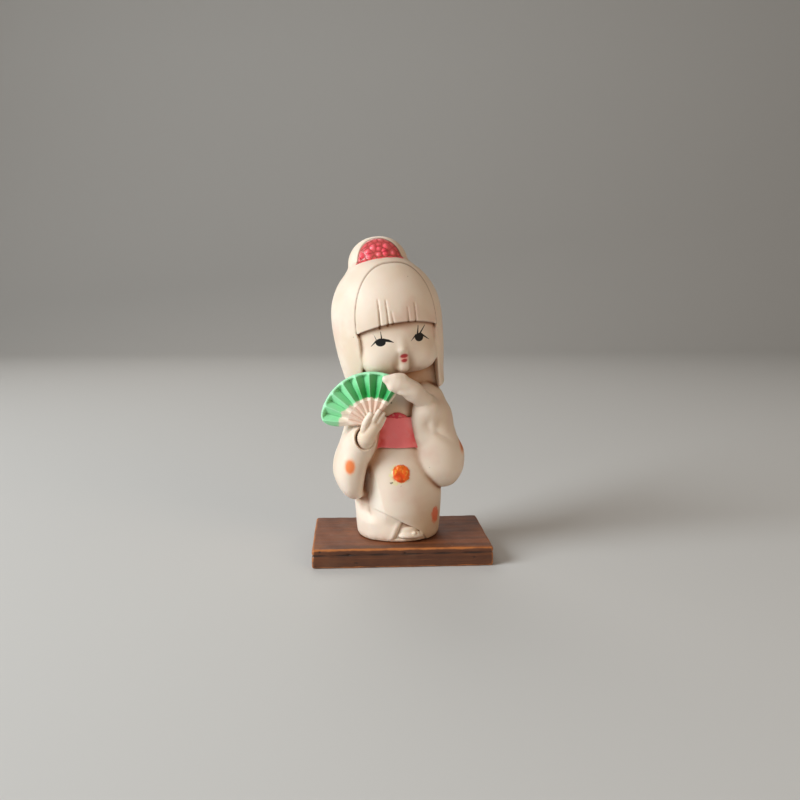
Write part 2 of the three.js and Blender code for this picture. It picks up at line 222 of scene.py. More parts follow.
def foot(b):
    sole = ellipsoid(b.p, (1.6, -18.6, 3.2), (6.4, 3.4, 1.7), 2.5)
    instep = ellipsoid(b.p, (0.6, -17.6, 5.8), (5.2, 3.2, 2.8))
    field = union(sole, instep, 1.6)
    for x, y, z in ((2.9, -20.9, 4.6), (4.7, -20.3, 4.2), (6.3, -19.3, 3.8)):
        field = union(field, ellipsoid(b.p, (x, y, z), (1.2, 1.2, 0.9)), 0.6)
    return overlap(field, 1.4 - b.p[2], 0.3)


SASH_LOW, SASH_HIGH = 47.4, 62.8


def sash(b):
    x, _, z = b.p
    middle, half = (SASH_LOW + SASH_HIGH) / 2, (SASH_HIGH - SASH_LOW) / 2
    folds = 0.12 * np.sin((z - 47) * 1.25 + 0.05 * x) * smoothstep(4, 12, np.abs(x + 4))
    return overlap(robe(b) - 1.0 - folds, np.abs(z - middle) - half, 0.7)


def sash_scarf(b):
    x, y, z = b.p
    swell = np.exp(-((x + 4.5) / 5.0) ** 2) * smoothstep(0, -4, y)
    top = SASH_HIGH - 0.8 + 3.2 * swell
    return overlap(robe(b) - 0.45 - 0.5 * swell, np.maximum(z - top, SASH_HIGH - 2 - z), 0.5)


def sash_knot(b):
    drum = ellipsoid(b.p, (-1, 19.4, 55.2), (11.6, 5.4, 8.4), 3.0)
    x, _, z = b.p
    tuck = np.exp(-((z - 51.2 - 0.02 * (x + 1) ** 2) / 0.7) ** 2)
    tail = ellipsoid(b.p, (-1, 18.6, 45.6), (7.0, 3.0, 4.4), 3.0)
    return union(drum + 0.9 * tuck, tail, 0.5)


# ---------- sleeves and hands ----------
LEFT_SLEEVE = [(24.6, 20.6, -6, 1.0, 2.0), (25.4, 20.5, -6, 4.2, 6.0), (27.2, 20.2, -6, 7.4, 9.4),
               (31, 19.2, -6, 11.0, 13.0), (36, 18.0, -6, 14.0, 15.2), (44, 16.8, -6, 15.2, 15.8),
               (52, 15.6, -6, 12.6, 15.4), (60, 15.2, -5.6, 10.6, 13.8), (68, 14.8, -4, 8.4, 11.8),
               (75, 13.8, -2.4, 6.8, 9.4), (79.6, 11.8, -1.6, 2.0, 3.0)]
RIGHT_SLEEVE = [(20.4, -25.0, -6, 0.8, 2.0), (21.2, -25.1, -6, 2.8, 5.2), (23, -25.6, -6, 4.6, 8.4),
                (27, -27.0, -6, 6.0, 11.6), (34, -27.6, -6, 7.8, 13.4), (42, -26.2, -6, 8.4, 13.8),
                (50, -23.2, -6, 8.4, 13.4), (58, -20.4, -5, 8.6, 12.2), (66, -18.0, -3, 8.4, 10.8),
                (73, -16.0, -1.5, 6.4, 8.4), (77, -13.6, -1, 2.0, 3.0)]
LEFT_ARM = [(13, -13.4, 68.4), (8, -18.6, 71.6), (1, -22.8, 76.4)]
RIGHT_ARM = [(-22.6, -12, 48.5), (-21.9, -17.5, 51), (-20.6, -21.0, 55)]


def left_sleeve(b):
    x, y, z = b.p
    bag = stack(b.p, LEFT_SLEEVE, 2.15)
    fold, along = line_distance(x, z, (9.4, 57.4), (25.0, 49.4))
    elbow_crease = np.exp(-(fold / 1.8) ** 2) * np.sin(np.pi * np.clip(along, 0.02, 0.98))
    bag = bag + 1.2 * elbow_crease * smoothstep(0, -6, y)
    cuff = tube(b.p, [(17, -7, 62), (13.6, -12.6, 65.0), (10.6, -16.2, 66.6)], 8.0, 6.8)
    drape = tube(b.p, [(8.2, -17.6, 69.0), (6.8, -16.8, 62.0), (8.0, -15.2, 54.0)], 4.4, 4.0)
    inner_fold = tube(b.p, [(12.6, -19.6, 68.0), (12.4, -19.4, 62.0), (12.8, -18.0, 56.0)], 2.2, 1.6)
    return union(union(bag, union(cuff, drape, 3.0), 3.5), inner_fold, 2.0)


def right_sleeve(b):
    bag = stack(b.p, RIGHT_SLEEVE, 2.5)
    cuff = tube(b.p, [(-24, -8, 46), (-23.6, -13.4, 49.5), (-22.4, -16.6, 52.6)], 8.8, 7.2)
    mouth = ellipsoid(b.p, (-21.4, -22.8, 54.4), (5.8, 6.4, 6.6))
    return carve(union(bag, cuff, 2.5), mouth, 0.7)


def left_hand(b):
    field = tube(b.p, LEFT_ARM, 4.3, 4.5)
    palm = tube(b.p, [(2, -22.8, 76.4), (-2.4, -23.8, 79.4), (-5.8, -24.2, 80.6)], 4.7, 4.2)
    field = union(field, palm, 1.8)
    for i in range(4):
        rise = 1.5 - i
        start = (-4.6 + 0.3 * rise, -24.6, 80.8 + 1.9 * rise)
        middle = (-8.6 + 0.5 * rise, -25.4, 81.4 + 1.75 * rise)
        tip = (-12.6 + 1.5 * i, -24.8, 80.8 + 1.55 * rise)
        field = union(field, tube(b.p, [start, middle, tip], 1.9, 1.5, 5), 2.2)
    thumb = tube(b.p, [(0.2, -25.2, 75.8), (-2.8, -26.2, 76.2), (-5.2, -26.0, 76.8)], 1.8, 1.4, 5)
    return union(field, thumb, 1.2)


def right_hand(b):
    field = tube(b.p, RIGHT_ARM, 4.2, 4.2)
    palm = tube(b.p, [(-21.6, -21.6, 54.4), (-19.6, -22.8, 57.8), (-18.2, -23.4, 60.2)], 4.0, 3.7, 5)
    field = union(field, palm, 1.5)
    fingers = (([(-22.8, -23.6, 58.6), (-22.2, -25.2, 62.4), (-20.0, -25.6, 66.2)], 1.95, 1.5),
               ([(-19.4, -24.8, 60.8), (-18.0, -26.0, 64.6), (-15.8, -25.8, 67.8)], 1.5, 1.15),
               ([(-17.2, -24.6, 60.2), (-15.6, -25.6, 63.6), (-13.7, -25.2, 66.3)], 1.4, 1.05),
               ([(-15.7, -23.8, 59.2), (-14.2, -24.6, 61.8), (-12.9, -24.2, 64.0)], 1.3, 0.95))
    for points, start, end in fingers:
        field = union(field, tube(b.p, points, start, end, 6), 0.4)
    return field


# ---------- fan ----------
FAN_PIVOT = np.array((-18.6, -22.2, 60.5))
FAN_TURN, FAN_BACK = math.radians(-22), math.radians(-6)
FAN_RADIUS, FAN_SPLIT, PLEATS = 26.0, 12.0, 8
FAN_FROM, FAN_TO = math.radians(52), math.radians(184)


def fan_axes():
    """Unit vectors of the fan: along 0 degrees, along 90 degrees, and out of its front."""
    ct, st, cb, sb = math.cos(FAN_TURN), math.sin(FAN_TURN), math.cos(FAN_BACK), math.sin(FAN_BACK)
    across = np.array((ct, st, 0))
    up = np.array((st * sb, -ct * sb, cb))
    return across, up, np.cross(across, up)


def fan_coordinates(p):
    offset = [axis - k for axis, k in zip(p, FAN_PIVOT)]
    u, v, w = (sum(o * k for o, k in zip(offset, axis)) for axis in fan_axes())
    turn = np.arctan2(v, u)
    turn = np.where(turn < -1.5, turn + 2 * math.pi, turn)
    return np.hypot(u, v), (turn - FAN_FROM) / (FAN_TO - FAN_FROM), w


def pleat_wave(share):
    """-1 in a pleat's valley and 1 on its ridge."""
    return 1 - 4 * np.abs((share * PLEATS) % 1 - 0.5)


def fan(b):
    radius, share, w = fan_coordinates(b.p)
    within_rim = smoothstep(FAN_RADIUS, FAN_RADIUS - 2.2, radius)
    leaf = smoothstep(FAN_SPLIT - 1, FAN_SPLIT + 4, radius) * within_rim
    lift = pleat_wave(share) * (0.35 + 1.15 * leaf)
    slab = (np.abs(w - lift) - 1.1) * 0.8
    rim = np.maximum(np.abs(radius - FAN_RADIUS + 0.7) - 0.7, np.abs(w) - 1.9)
    across = (FAN_TO - FAN_FROM) / 2
    turn = (share - 0.5) * 2 * across
    sector = (np.abs(turn) - across) * radius
    outline = overlap(sector, radius - FAN_RADIUS, 9.0)
    return overlap(union(slab, rim, 0.8), outline, 0.9), radius


def fan_leaf(b):
    field, radius = fan(b)
    return overlap(field, FAN_SPLIT - radius, 0.05)


def fan_sticks(b):
    field, radius = fan(b)
    return overlap(field, radius - FAN_SPLIT, 0.05)


# ---------- head and hair, in the head's frame ----------
HAIR = [(-11, 1.2, 4, 23.6, 20.8), (-6, 1.0, 4, 24.6, 22.2), (0, 0.6, 4, 25.4, 23.4),
        (10, 0.2, 3, 26.9, 25.4), (20, 0, 2.5, 27.8, 26.6), (31, 0, 2, 28.1, 27.0), (40, 0, 2, 26.8, 25.8),
        (48, 0, 2, 23.2, 22.3), (54, 0, 2, 18.1, 17.4), (58, 0, 2, 12.2, 11.7), (60.4, 0, 2, 5.6, 5.4),
        (61, 0, 2, 1.2, 1.2)]
HAIR_END = -8.8                        # height of the cut ends of the back hair
PARTING = (0.8, 28.0, 20.4, 29.2)      # the front hair's outline: centre x and z, half-width, height
# Cuts in the fringe: top, bottom, depth.
CUTS = [((-8.0, 40.2), (-8.7, 26.6), 0.8), ((-4.4, 39.6), (-4.8, 27.4), 0.65),
        ((-2.6, 33.8), (-2.3, 28.0), 0.45), ((5.7, 35.0), (5.3, 28.2), 0.5), ((9.6, 36.2), (9.0, 27.9), 0.65)]
WINDOW = (-18.4, 19.8)                 # the side locks' inner edges


def fringe_edge(x):
    return 28.2 - 0.0085 * x * x


def hair(b, proud=0.0):
    return stack(b.head, HAIR, inset=-proud)


def fringe_outline(b):
    """Below zero inside the front hair's outline."""
    x, y, z = b.head
    cx, cz, half, high = PARTING
    sideways = np.where(x > cx, (np.abs(x - cx) / half) ** 1.5, np.abs(x - cx) / half)
    arch = (np.sqrt(sideways ** 2 + (np.maximum(z - cz, 0) / high) ** 2) - 1) * half * 0.9
    return np.maximum(arch, y + 1)


def front_hair(b):
    x, _, z = b.head
    field = np.maximum(hair(b, 0.1), 0.8 * fringe_outline(b))
    return overlap(field, (fringe_edge(x) - z) * 0.95, 0.45)


def back_hair(b):
    x, y, z = b.head
    left, right = WINDOW
    window = np.maximum(np.maximum(left - x, x - right), np.maximum(z - fringe_edge(x) - 3, y + 5))
    under_fringe = np.clip(-0.8 * fringe_outline(b), 0, 2) * smoothstep(-3, 0, z - fringe_edge(x))
    field = carve(overlap(hair(b), HAIR_END - z, 3.0), window, 1.6) + under_fringe
    strands = np.abs((x * 0.42 + 0.3 * np.sin(x * 0.7)) % 1 - 0.5)
    cut_line = 0.35 * smoothstep(0.12, 0.0, strands) * smoothstep(6, -4, z) * smoothstep(10, 18, y)
    return field + cut_line


FACE_MIDDLE = 0.8             # the face looks slightly past the head's own front


def head(b):
    x, y, z = b.head
    mid = FACE_MIDDLE
    skull = ellipsoid(b.head, (0, 2.5, 31), (23.4, 22.2, 25))
    face = ellipsoid(b.head, (0.4, -3.0, 19.6), (21.9, 20.2, 18.6), 2.2)
    field = union(skull, face, 7.0)
    for side in (-1, 1):
        cheek = ellipsoid(b.head, (mid + side * 10.2, -12.0, 10.4), (8.8, 8.0, 7.6))
        field = union(field, cheek, 4.0)
        dent = np.exp(-(((x - mid - side * 9.4) / 5.0) ** 2 + ((z - 21.0) / 3.6) ** 2))
        field = field + 0.6 * dent * smoothstep(-8, -14, y)
    muzzle = ellipsoid(b.head, (mid, -18.2, 9.6), (3.4, 3.0, 5.4))
    field = union(field, muzzle, 2.4)
    bridge = tube(b.head, [(mid, -20.9, 20.0), (mid, -21.5, 17.4), (mid, -21.7, 15.4)], 0.9, 1.4, 6)
    field = union(field, bridge, 3.0)
    for centre, radii, soft in (((mid - 0.1, -21.9, 15.0), (1.7, 1.5, 1.5), 1.3),
                                ((mid, -18.8, 5.8), (2.8, 1.9, 2.0), 1.8),
                                ((mid + 0.2, -20.8, 11.7), (1.7, 0.9, 0.8), 0.4),
                                ((mid + 0.1, -20.6, 9.6), (1.4, 0.9, 0.8), 0.4)):
        field = union(field, ellipsoid(b.head, centre, radii), soft)
    neck = np.maximum(np.hypot(x, y) - 5.8, np.maximum(-9 - z, z - 8))
    return union(field, neck, 2.0)


BUN_CENTRE = np.array((0.6, 8.0, 56.6))
BUN_RADII = np.array((15.4, 13.0, 14.6))


def bun(b):
    return ellipsoid(b.head, BUN_CENTRE, BUN_RADII, 2.1)


def beads(p, count=280):
    """Distance outside the ornament's tied beads, and how much nearer the nearest is than the next."""
    chance = np.random.default_rng(7)
    k = np.arange(count) + 0.5
    height = 1 - 2 * k / count
    turn = k * math.pi * (1 + math.sqrt(5))
    across = np.sqrt(1 - height ** 2)
    points = np.c_[across * np.cos(turn), across * np.sin(turn), height]
    points += chance.normal(0, 0.05, points.shape)
    points = BUN_CENTRE + (BUN_RADII - 0.95) * points / np.linalg.norm(points, axis=1)[:, None]
    sizes = chance.uniform(1.4, 2.1, count)
    in_front = (points[:, 1] < 6) & (points[:, 2] > 54)
    nearest = np.full(np.broadcast(*p).shape, 99.0, np.float32)
    second = nearest.copy()
    for point, size in zip(points[in_front], sizes[in_front]):
        away = (np.sqrt(sum((axis - c) ** 2 for axis, c in zip(p, point))) - size).astype(np.float32)
        second = np.minimum(second, np.maximum(nearest, away))
        nearest = np.minimum(nearest, away)
    return nearest, second - nearest


def hair_ornament(b):
    """Tied beads on the front of the bun, flush with it inside an oval outline."""
    x, y, z = b.head
    outline = (np.sqrt(((x + 0.1) / 11.4) ** 2 + ((z - 57.5) / 12.7) ** 2) - 1) * 12
    tied = np.maximum(beads(b.head)[0], outline + 1.0)
    return overlap(union(bun(b) - 0.25, tied, 0.35), np.maximum(outline, y - 6), 0.5)


# ---------- the skin ----------
# Each part: its field, its box's low and high corners, how softly it meets the parts before it, its grain.
PARTS = {
    "kimono_body": (kimono_body, (-24, -23, -1), (22, 22, 80), 0.4, 0.45),
    "under_robe": (under_robe, (-24, -22, -1), (22, 22, 25), 0.35, 0.42),
    "foot": (foot, (-7, -24.5, -1), (10, -14, 10), 0.5, 0.3),
    "sash": (sash, (-21, -19, 45), (19, 19, 65), 0.2, 0.42),
    "sash_scarf": (sash_scarf, (-20, -18, 60), (18, 18, 68), 0.2, 0.4),
    "sash_knot": (sash_knot, (-14, 12, 40), (12, 26, 66), 0.6, 0.42),
    "left_sleeve": (left_sleeve, (-1, -27, 23), (34, 12, 80), 1.6, 0.4),
    "right_sleeve": (right_sleeve, (-37, -27, 18), (-9, 11, 79), 3.6, 0.4),
    "left_hand": (left_hand, (-15, -30, 63), (18, -8, 87), 0.5, 0.3),
    "right_hand": (right_hand, (-28, -29, 43), (-9, -6, 71), 0.4, 0.3),
    "head": (head, (-33, -29, 72), (22, 27, 140), 0.8, 0.34),
    "back_hair": (back_hair, (-37, -27, 69), (28, 33, 143), 1.2, 0.45),
    "front_hair": (front_hair, (-34, -29, 100), (20, 3, 143), 0.35, 0.4),
    "bun": (bun, (-28, -8, 124), (10, 24, 155), 5.0, 0.42),
    "hair_ornament": (hair_ornament, (-24, -10, 126), (5, 14, 154), 0.12, 0.26),
    "fan_leaf": (fan_leaf, (-46, -30, 56), (-1, -8, 89), 0.25, 0.3),
    "fan_sticks": (fan_sticks, (-33, -28, 56), (-8, -14, 76), 0.1, 0.28),
}
# Parting lines pressed into the skin between two parts: depth and half-width.
PARTING_LINES = {("front_hair", "back_hair"): (0.22, 0.2), ("hair_ornament", "bun"): (0.15, 0.2),
                 ("hair_ornament", "back_hair"): (0.2, 0.25), ("hair_ornament", "front_hair"): (0.2, 0.25),
                 ("sash", "kimono_body"): (0.2, 0.25)}
TONGUE, DIVE = 1.3, 0.5      # how far a piece runs on under its neighbour, and how steeply it dives there
PAD, FAR = 5.0, 12.0         # room kept round a part's box, and the distance taken beyond it


def skin(b):
    """The blended skin in a block, each part's own field (where in the block it is, and its values there),
    and how strongly a line is pressed in at each point."""
    fields = {}
    lines = np.zeros(b.shape, np.float32)
    whole = np.full(b.shape, FAR, np.float32)
    for name, (field, low, high, soft, _) in PARTS.items():
        first = np.maximum(np.floor((np.array(low) - PAD - b.low) / b.step), 0).astype(int)
        last = np.minimum(np.ceil((np.array(high) + PAD - b.low) / b.step), b.shape).astype(int)
        if np.any(last - first < 2):
            continue
        there = tuple(slice(i, j) for i, j in zip(first, last))
        part = b.part(there)
        own = np.broadcast_to(field(part), part.shape).astype(np.float32)
        fields[name] = (there, own)
        whole[there] = union(whole[there], own, soft)
    for (first, second), (depth, width) in PARTING_LINES.items():
        if first in fields and second in fields:
            there = tuple(slice(max(i.start, j.start), min(i.stop, j.stop))
                          for i, j in zip(fields[first][0], fields[second][0]))
            if all(i.stop > i.start for i in there):
                one, other = (spread(b, fields[name])[there] for name in (first, second))
                buried = np.minimum(one, other) - whole[there]
                line = np.exp(-((one - other) / 2 / width) ** 2) * smoothstep(0.9, 0.3, buried)
                whole[there] += depth * line
                lines[there] = np.maximum(lines[there], line)
    surface_details(b, fields, whole, lines)
    return whole, fields, lines


def spread(b, field):
    """A part's own field over the whole block."""
    there, own = field
    values = np.full(b.shape, FAR, np.float32)
    values[there] = own
    return values


FLOWER = (-3.6, 35.2)         # the raised flower on the robe's front, x and z


def surface_details(b, fields, whole, lines):
    """Presses cuts into the skin and raises details from it."""
    if "front_hair" in fields:
        there = fields["front_hair"][0]
        x, y, z = b.part(there).head
        for top, bottom, deep in CUTS:
            away, along = line_distance(x, z, top, bottom)
            cut = np.exp(-(away / (0.3 + 0.14 * along)) ** 2) * (0.6 + 0.4 * along) * (y < -12)
            whole[there] += deep * cut
            lines[there] = np.maximum(lines[there], cut)
    if "kimono_body" in fields:
        there = fields["kimono_body"][0]
        x, y, z = b.part(there).p
        raised = 0.7 * np.clip(1 - ((x - FLOWER[0]) ** 2 + (z - FLOWER[1]) ** 2) / 1.3, 0, 1)
        for k in range(5):
            turn = 0.5 + k * 2 * math.pi / 5
            away = (x - FLOWER[0] - 2.5 * math.cos(turn)) ** 2 + (z - FLOWER[1] - 2.5 * math.sin(turn)) ** 2
            raised = np.maximum(raised, 0.85 * np.sqrt(np.clip(1 - away / 4.2, 0, 1)))
        whole[there] -= raised * smoothstep(-8, -12, y)


def cavity(b):
    """The hollow inside the robe, open at the base."""
    return np.maximum(stack(b.p, ROBE, inset=WALL + 0.9), b.p[2] - CAVITY_TOP)


def piece_field(b, name, whole, fields):
    others = np.full(b.shape, FAR, np.float32)
    for other, (there, own) in fields.items():
        if other != name:
            others[there] = np.minimum(others[there], own)
    border = (spread(b, fields[name]) - others) / 2
    piece = np.maximum(whole + DIVE * np.maximum(border, 0), border - TONGUE)
    if name in ("kimono_body", "under_robe", "sash", "sash_scarf"):
        piece = np.maximum(piece, -cavity(b))
    if name in ("kimono_body", "under_robe"):
        piece = np.maximum(piece, -b.p[2])
    return piece


# ---------- meshing ----------
def surface_net(b, values):
    """Vertices and quads of the surface where values cross zero."""
    values = np.pad(values, 1, constant_values=1.0)
    inside = values < 0
    corners = list(np.ndindex(2, 2, 2))
    nx, ny, nz = (n - 1 for n in values.shape)
    count = sum(inside[i:i + nx, j:j + ny, k:k + nz].astype(np.uint8) for i, j, k in corners)
    cells = np.argwhere((count > 0) & (count < 8))
    at = np.stack([values[tuple((cells + corner).T)] for corner in corners], axis=1)
    total = np.zeros((len(cells), 3))
    hits = np.zeros(len(cells))
    for i, first in enumerate(corners):
        for j, second in enumerate(corners):
            if j <= i or sum(a != c for a, c in zip(first, second)) != 1:
                continue
            crosses = (at[:, i] < 0) != (at[:, j] < 0)
            gap = np.where(crosses, at[:, i] - at[:, j], 1.0)
            share = np.where(crosses, at[:, i] / gap, 0.0)[:, None]
            point = np.array(first) + share * (np.array(second) - np.array(first))
            total += point * crosses[:, None]
            hits += crosses
    vertices = b.low + (cells - 1 + total / hits[:, None]) * b.step
    index = np.full((nx, ny, nz), -1, np.int64)
    index[tuple(cells.T)] = np.arange(len(cells))
    quads = []
    for axis in range(3):
        ahead = np.roll(inside, -1, axis)
        edge = inside != ahead
        edge[tuple(slice(-1, None) if k == axis else slice(None) for k in range(3))] = False
        at_edge = np.argwhere(edge)
        u, v = (axis + 1) % 3, (axis + 2) % 3
        step_u, step_v = np.eye(3, dtype=int)[u], np.eye(3, dtype=int)[v]
        ring = [at_edge - step_u - step_v, at_edge - step_v, at_edge, at_edge - step_u]
        quad = np.stack([index[tuple(cell.T)] for cell in ring], axis=1)
        outward = inside[tuple(at_edge.T)]
        quad[~outward] = quad[~outward][:, ::-1]
        quads.append(quad)
    return vertices, np.vstack(quads)


def settle(b, values, vertices, rounds=2):
    """Moves vertices on to the surface itself."""
    nudge = 0.5 * b.step
    for _ in range(rounds):
        here = b.sample(values, vertices)
        rise = [b.sample(values, vertices + step) - b.sample(values, vertices - step)
                for step in nudge * np.eye(3)]
        slope = np.stack(rise, axis=1) / (2 * nudge)
        steep = np.maximum((slope ** 2).sum(1), 0.15)
        move = -(here / steep)[:, None] * slope
        size = np.linalg.norm(move, axis=1, keepdims=True)
        vertices = vertices + move * np.minimum(1, 0.4 * b.step / np.maximum(size, 1e-9))
    return vertices


def to_row_frame(points):
    """From the figure's frame in millimetres to the row frame in metres."""
    c, s = math.cos(FIGURE_TURN), math.sin(FIGURE_TURN)
    x, y, z = np.asarray(points, float).T
    return np.c_[c * x - s * y, s * x + c * y, z + FIGURE_BASE] * MM


def make_object(name, vertices, faces, smooth=True):
    mesh = bpy.data.meshes.new(name)
    mesh.from_pydata(vertices.tolist(), [], faces if isinstance(faces, list) else faces.tolist())
    mesh.polygons.foreach_set("use_smooth", [smooth] * len(mesh.polygons))
    mesh.validate()
    obj = bpy.data.objects.new(name, mesh)
    bpy.context.scene.collection.objects.link(obj)
    return obj


def add_attribute(obj, name, values):
    attribute = obj.data.attributes.new(name, "FLOAT", "POINT")
    attribute.data.foreach_set("value", np.asarray(values, np.float32))


def blurred(values, reach):
    """Three passes of a box average, close to a soft blur."""
    width = 2 * reach + 1
    for axis in (0, 1, 2) * 3:
        padding = [(reach + 1, reach) if k == axis else (0, 0) for k in range(3)]
        run = np.cumsum(np.pad(values, padding, mode="edge"), axis=axis, dtype=np.float64)
        ahead = np.take(run, range(width, run.shape[axis]), axis=axis)
        behind = np.take(run, range(0, run.shape[axis] - width), axis=axis)
        values = ((ahead - behind) / width).astype(np.float32)
    return values


coarse = Block((-54, -38, -8), (46, 42, 162), 0.8)
coarse_skin = np.clip(skin(coarse)[0], -3, 3)
near_shade = blurred(coarse_skin, 1)
wide_shade = blurred(coarse_skin, 4)


def sculpt(name):
    """A finished piece of the skin: its vertices, its quads and, for each mark, a number per vertex."""
    _, low, high, _, grain = PARTS[name]
    b = Block(np.array(low) - 1.5, np.array(high) + 1.5, grain * FINE)
    whole, fields, lines = skin(b)
    values = piece_field(b, name, whole, fields)
    vertices, quads = surface_net(b, values)
    vertices = settle(b, values, vertices)
    marks = {"recess": -coarse.sample(wide_shade, vertices), "crease": -coarse.sample(near_shade, vertices),
             "line": b.sample(lines, vertices)}
    if name == "hair_ornament":
        c, s = math.cos(HEAD_TILT), math.sin(HEAD_TILT)
        x, y, z = (vertices - CHIN).T
        marks["bead"] = beads((c * x + s * z, y, c * z - s * x))[1]
    if name in ("fan_leaf", "fan_sticks"):
        radius, share, _ = fan_coordinates(vertices.T)
        marks.update(out=radius, turn=share, pleat=pleat_wave(share), shady=(share * PLEATS) % 1 < 0.5)
    return vertices, quads, marks


pieces = {}
with ThreadPoolExecutor(4) as pool:
    for name, (vertices, quads, marks) in zip(PARTS, pool.map(sculpt, PARTS)):
        pieces[name] = make_object(name + "_skin", to_row_frame(vertices), quads)
        for mark, values in marks.items():
            add_attribute(pieces[name], mark, values)
        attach(pieces[name], "figure")
        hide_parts(name)


# ---------- paint ----------
def shade(red, green, blue):
    """A colour for shaders from everyday 0-255 values."""
    return tuple(((c / 255 + 0.055) / 1.055) ** 2.4 for c in (red, green, blue)) + (1,)


class Num:
    """A number flowing through a material's nodes, so that a mask reads as plain arithmetic."""

    def __init__(self, tree, socket):
        self.tree, self.socket = tree, socket

    def put(self, operation, *others):
        node = self.tree.nodes.new("ShaderNodeMath")
        node.operation = operation
        for slot, value in zip(node.inputs, (self,) + others):
            if isinstance(value, Num):
                self.tree.links.new(value.socket, slot)
            else:
                slot.default_value = value
        return Num(self.tree, node.outputs[0])

    def __add__(self, other):
        return self.put("ADD", other)

    def __sub__(self, other):
        return self.put("SUBTRACT", other)

    def __mul__(self, other):
        return self.put("MULTIPLY", other)

    def __truediv__(self, other):
        return self.put("DIVIDE", other)

    def __abs__(self):
        return self.put("ABSOLUTE")

    def __pow__(self, other):
        return self.put("POWER", other)

    def least(self, other):
        return self.put("MINIMUM", other)

    def most(self, other):
        return self.put("MAXIMUM", other)

    def ramp(self, start, end):
        """0 at start and 1 at end, smoothly."""
        node = self.tree.nodes.new("ShaderNodeMapRange")
        node.interpolation_type = "SMOOTHSTEP"
        node.inputs["From Min"].default_value = start
        node.inputs["From Max"].default_value = end
        self.tree.links.new(self.socket, node.inputs["Value"])
        return Num(self.tree, node.outputs["Result"])


class Paint:
    """A material built up in layers, with places in the figure's and the head's millimetres.
    Colours are red, green and blue, 0 to 255."""

    def __init__(self, name, colour, figure=True):
        self.material = bpy.data.materials.new(name)
        self.material.use_nodes = True
        self.tree = self.material.node_tree
        self.shader = self.tree.nodes["Principled BSDF"]
        base = self.tree.nodes.new("ShaderNodeRGB")
        base.outputs[0].default_value = shade(*colour)
        self.colour = base.outputs[0]
        own = self.tree.nodes.new("ShaderNodeTexCoord").outputs["Object"]
        turn, lift = (-FIGURE_TURN, -FIGURE_BASE) if figure else (0, 0)
        self.place = self.moved(own, 1 / MM, (0, 0, turn), (0, 0, lift))
        leaned = Euler((0, HEAD_TILT, 0)).to_matrix() @ -Vector(CHIN)
        self.head_place = self.moved(self.place, 1, (0, HEAD_TILT, 0), leaned)

    def moved(self, vector, scale, turn, shift):
        node = self.tree.nodes.new("ShaderNodeMapping")
        node.inputs["Scale"].default_value = (scale,) * 3 if np.isscalar(scale) else scale
        node.inputs["Rotation"].default_value = turn
        node.inputs["Location"].default_value = shift
        self.tree.links.new(vector, node.inputs["Vector"])
        return node.outputs["Vector"]

    def axes(self, vector):
        node = self.tree.nodes.new("ShaderNodeSeparateXYZ")
        self.tree.links.new(vector, node.inputs[0])
        return [Num(self.tree, socket) for socket in node.outputs]

    def noise(self, size, detail=3, seed=0, stretch=(1, 1, 1)):
        node = self.tree.nodes.new("ShaderNodeTexNoise")
        node.inputs["Scale"].default_value = 1 / size
        node.inputs["Detail"].default_value = detail
        place = self.moved(self.place, stretch, (0, 0, 0), (seed * 37.0, seed * 11.0, 0))
        self.tree.links.new(place, node.inputs["Vector"])
        return Num(self.tree, node.outputs["Fac"])

    def flecks(self, size, share, seed=0):
        """Small uneven specks, in that share of the cells of that size."""
        node = self.tree.nodes.new("ShaderNodeTexVoronoi")
        node.inputs["Scale"].default_value = 1 / size
        place = self.moved(self.place, 1, (0, 0, 0), (seed * 23.0, 0, seed * 7.0))
        self.tree.links.new(place, node.inputs["Vector"])
        chance, width = self.axes(node.outputs["Color"])[:2]
        reach = width ** 3 * 0.09 + 0.03
        uneven = Num(self.tree, node.outputs["Distance"]) + (self.noise(size * 0.12, 2, seed) - 0.5) * 0.12
        near = (uneven / reach).ramp(1.2, 0.7)
        return near * chance.ramp(1 - share, 1 - share + 0.01)

    def mark(self, name):
        node = self.tree.nodes.new("ShaderNodeAttribute")
        node.attribute_name = name
        return Num(self.tree, node.outputs["Fac"])

    def layer(self, colour, share):
        node = self.tree.nodes.new("ShaderNodeMix")
        node.data_type = "RGBA"
        node.clamp_factor = True
        self.tree.links.new(share.socket, node.inputs["Factor"])
        self.tree.links.new(self.colour, node.inputs["A"])
        node.inputs["B"].default_value = shade(*colour)
        self.colour = node.outputs["Result"]

    def finish(self, roughness, bump, depth=0.06, **settings):
        """Ends the material. bump is a height, and depth says how many millimetres 1 of it stands for."""
        self.tree.links.new(self.colour, self.shader.inputs["Base Color"])
        self.tree.links.new(roughness.most(0.12).least(1).socket, self.shader.inputs["Roughness"])
        node = self.tree.nodes.new("ShaderNodeBump")
        node.inputs["Distance"].default_value = depth * MM
        self.tree.links.new(bump.socket, node.inputs["Height"])
        self.tree.links.new(node.outputs["Normal"], self.shader.inputs["Normal"])
        for name, value in settings.items():
            self.shader.inputs[name.replace("_", " ")].default_value = value
        return self.material


VINYL = (236, 220, 203)
BROWN = (128, 78, 46)


